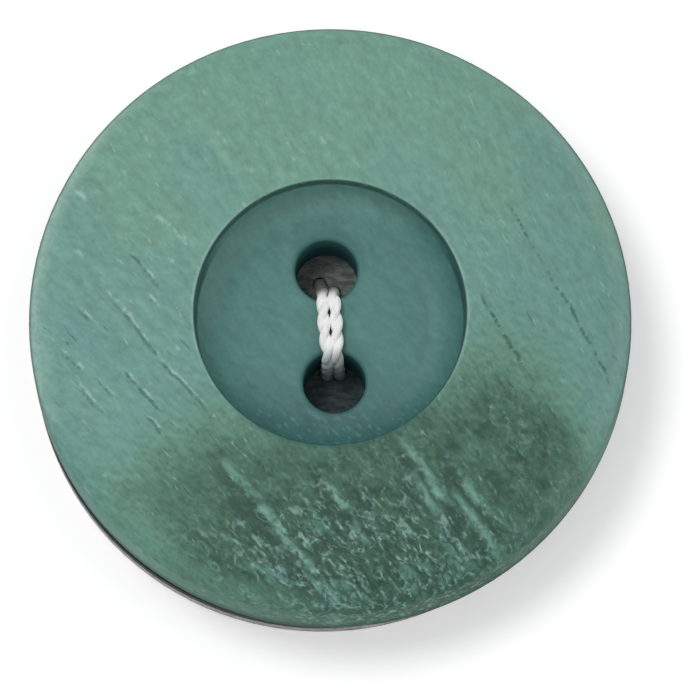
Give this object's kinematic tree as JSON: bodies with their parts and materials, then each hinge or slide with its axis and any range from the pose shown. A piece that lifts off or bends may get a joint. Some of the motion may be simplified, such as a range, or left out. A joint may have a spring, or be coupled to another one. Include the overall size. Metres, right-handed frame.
{
  "type": "sew-through button on backing card",
  "caption": "Round turned button in marbled green vegetable ivory, with a dished well and sewing holes, held to a dark trimmed backing card by a doubled white stitch.",
  "frame": {"origin": "on the button's axis, at the underside of the backing card", "axes": "+Z along the button's axis towards its face; +Y along the stitch, from the lower hole to the upper hole"},
  "size_m": [0.025, 0.025, 0.0064],
  "materials": {
    "dyed_nut": "satin turned vegetable ivory, dyed sea green, with dark marbled skin along one side and fine slanting pores",
    "white_thread": "soft two-ply twisted sewing thread",
    "dark_board": "matt charcoal paper board"
  },
  "bodies": {
    "root": {"button": "dyed_nut", "stitch_thread": "white_thread", "backing_card": "dark_board"}
  },
  "joints": []
}
